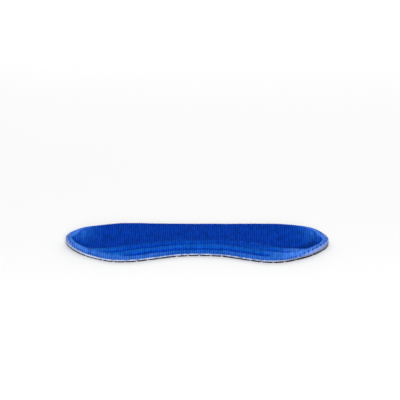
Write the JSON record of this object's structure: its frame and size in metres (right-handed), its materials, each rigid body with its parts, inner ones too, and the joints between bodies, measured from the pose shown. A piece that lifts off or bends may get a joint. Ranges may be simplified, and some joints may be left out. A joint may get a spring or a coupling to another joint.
{
  "type": "heel grip pad",
  "caption": "Soft kidney-shaped heel grip pad with a ribbed blue knit face, a foam core and a black adhesive net back that sticks inside the heel of a shoe.",
  "frame": {"origin": "middle of the pad's box, on the flat adhesive side", "axes": "+X along the pad from tip to tip, +Y away from the notched edge, +Z out of the knit face"},
  "size_m": [0.095, 0.038, 0.0044],
  "materials": {
    "adhesive": "semi-gloss black adhesive net with mottled grey patches",
    "foam": "matt white open-cell foam",
    "knit": "blue rib knit with a slight sheen"
  },
  "bodies": {
    "root": {"adhesive_net": "adhesive", "foam_core": "foam", "fabric_cover": "knit"}
  },
  "joints": []
}
